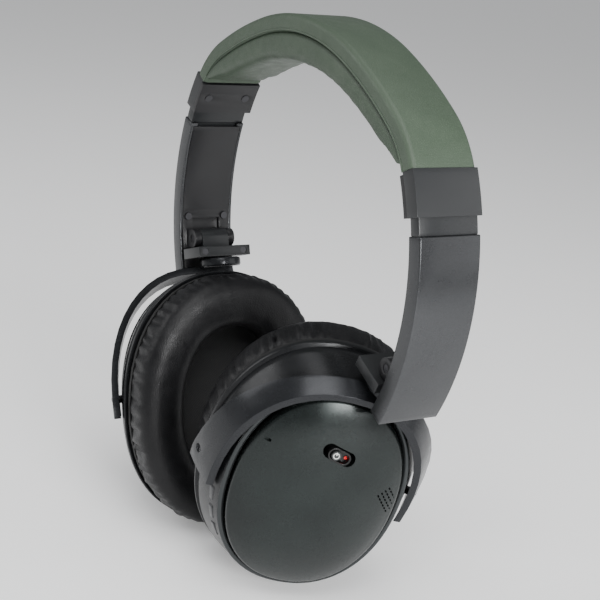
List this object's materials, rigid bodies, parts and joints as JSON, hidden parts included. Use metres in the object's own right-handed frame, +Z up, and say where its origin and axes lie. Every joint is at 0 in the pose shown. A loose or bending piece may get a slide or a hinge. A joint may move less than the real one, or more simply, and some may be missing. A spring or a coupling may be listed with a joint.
{
  "type": "over-ear headphones",
  "caption": "Wireless over-ear headphones: padded sprung headband, sliding arms, folding swivelling yokes, tilting oval ear cups with cushions, buttons and sockets.",
  "frame": {"origin": "middle of the underside of the headband pad, where it rests on a head", "axes": "+Z up, the wearer faces -Y, the wearer's left is +X"},
  "size_m": [0.1644, 0.0873, 0.1987],
  "materials": {
    "sleeve": "satin green leather",
    "foam": "open foam",
    "spring_steel": "brushed spring steel",
    "core": "moulded core",
    "cable": "rubber-covered cable",
    "pad": "soft green leather",
    "end_cap": "satin grey",
    "cap_plate": "satin black",
    "screws": "blackened steel",
    "slider": "satin black",
    "arm": "satin metallic grey",
    "arm_frame": "satin black",
    "pins": "turned steel",
    "hinge_block": "satin black",
    "yoke": "satin dark grey",
    "housing": "satin dark grey",
    "cap": "graphite metallic",
    "lip_ring": "bright dark rim",
    "baffle": "matt black",
    "driver": "moulded basket",
    "cushion_frame": "matt black",
    "ear_cushion": "soft black leather",
    "scrim": "black cloth",
    "battery": "foil wrapped",
    "circuit_board": "green lacquer",
    "microphones": "metal can",
    "switch_slot": "gloss black",
    "power_switch": "satin grey with a printed power mark",
    "status_light": "red",
    "button_plate": "matt black",
    "buttons": "satin grey",
    "port_metal": "plated steel"
  },
  "bodies": {
    "headband": {"headband_cover": "sleeve", "headband_foam": "foam", "headband_spring": "spring_steel", "headband_core": "core", "headband_cable": "cable", "headband_pad": "pad", "end_cap_left": "end_cap", "end_cap_right": "end_cap", "cap_plate_left": "cap_plate", "cap_plate_right": "cap_plate", "cap_screws": "screws"},
    "power_slide": {"power_switch": "power_switch"},
    "up_button": {"volume_up": "buttons"},
    "action_key": {"action_button": "buttons"},
    "down_button": {"volume_down": "buttons"},
    "arm_left": {"slider_left": "slider", "arm_cover_left": "arm", "arm_frame_left": "arm_frame", "arm_screws_left": "screws", "fold_pin_left": "pins"},
    "hinge_left": {"hinge_block_left": "hinge_block", "hinge_screws_left": "screws"},
    "yoke_left": {"yoke_left": "yoke", "yoke_pins_left": "pins"},
    "cup_left": {"cup_housing_left": "housing", "cup_cap_left": "cap", "lip_ring_left": "lip_ring", "baffle_left": "baffle", "driver_left": "driver", "cushion_frame_left": "cushion_frame", "ear_cushion_left": "ear_cushion", "scrim_left": "scrim", "microphones_left": "microphones", "battery": "battery", "audio_board": "circuit_board", "audio_socket": "port_metal"},
    "arm_right": {"slider_right": "slider", "arm_cover_right": "arm", "arm_frame_right": "arm_frame", "arm_screws_right": "screws", "fold_pin_right": "pins"},
    "hinge_right": {"hinge_block_right": "hinge_block", "hinge_screws_right": "screws"},
    "yoke_right": {"yoke_right": "yoke", "yoke_pins_right": "pins"},
    "cup_right": {"cup_housing_right": "housing", "cup_cap_right": "cap", "lip_ring_right": "lip_ring", "baffle_right": "baffle", "driver_right": "driver", "cushion_frame_right": "cushion_frame", "ear_cushion_right": "ear_cushion", "scrim_right": "scrim", "main_board": "circuit_board", "switch_slot": "switch_slot", "status_light": "status_light", "button_plate": "button_plate", "charging_port": "port_metal", "microphones_right": "microphones"}
  },
  "joints": [
    {"name": "slide_left", "type": "hinge", "parent": "headband", "child": "arm_left", "pos_m": [-0.008, 0, -0.0596], "axis": [0, 1, 0], "range_deg": [-3.6, 2.2]},
    {"name": "slide_right", "type": "hinge", "parent": "headband", "child": "arm_right", "pos_m": [0.008, 0, -0.0596], "axis": [0, -1, 0], "range_deg": [-3.6, 2.2]},
    {"name": "fold_left", "type": "hinge", "parent": "arm_left", "child": "hinge_left", "pos_m": [0.06842, 0, -0.08224], "axis": [0, 1, 0], "range_deg": [0, 2.6]},
    {"name": "fold_right", "type": "hinge", "parent": "arm_right", "child": "hinge_right", "pos_m": [-0.06842, 0, -0.08224], "axis": [0, 1, 0], "range_deg": [-3.8, 0]},
    {"name": "swivel_left", "type": "hinge", "parent": "hinge_left", "child": "yoke_left", "pos_m": [0.0603, 0, -0.08562], "axis": [0.3811, 0, 0.9245], "range_deg": [-13, 9]},
    {"name": "swivel_right", "type": "hinge", "parent": "hinge_right", "child": "yoke_right", "pos_m": [-0.0603, 0, -0.08562], "axis": [-0.3811, 0, 0.9245], "range_deg": [-16, 38]},
    {"name": "tilt_left", "type": "hinge", "parent": "yoke_left", "child": "cup_left", "pos_m": [0.04, 0.0103, -0.13534], "axis": [-0.0161, -0.9998, 0.0067], "range_deg": [-6.5, 9]},
    {"name": "tilt_right", "type": "hinge", "parent": "yoke_right", "child": "cup_right", "pos_m": [-0.03588, 0.00937, -0.13364], "axis": [0.3834, 0.91, 0.158], "range_deg": [-6.5, 9]},
    {"name": "power_switch_slide", "type": "slide", "parent": "cup_right", "child": "power_slide", "axis": [-0.3119, -0.8552, -0.4141], "range_m": [0, 0.0027]},
    {"name": "volume_up_press", "type": "slide", "parent": "cup_right", "child": "up_button", "axis": [0.0168, -0.9931, 0.1157], "range_m": [0, 0.0005], "stiffness_N_per_m": 400},
    {"name": "action_press", "type": "slide", "parent": "cup_right", "child": "action_key", "axis": [0.0032, -0.9665, 0.2565], "range_m": [0, 0.0005], "stiffness_N_per_m": 400},
    {"name": "volume_down_press", "type": "slide", "parent": "cup_right", "child": "down_button", "axis": [-0.0003, -0.9163, 0.4006], "range_m": [0, 0.0005], "stiffness_N_per_m": 400}
  ]
}
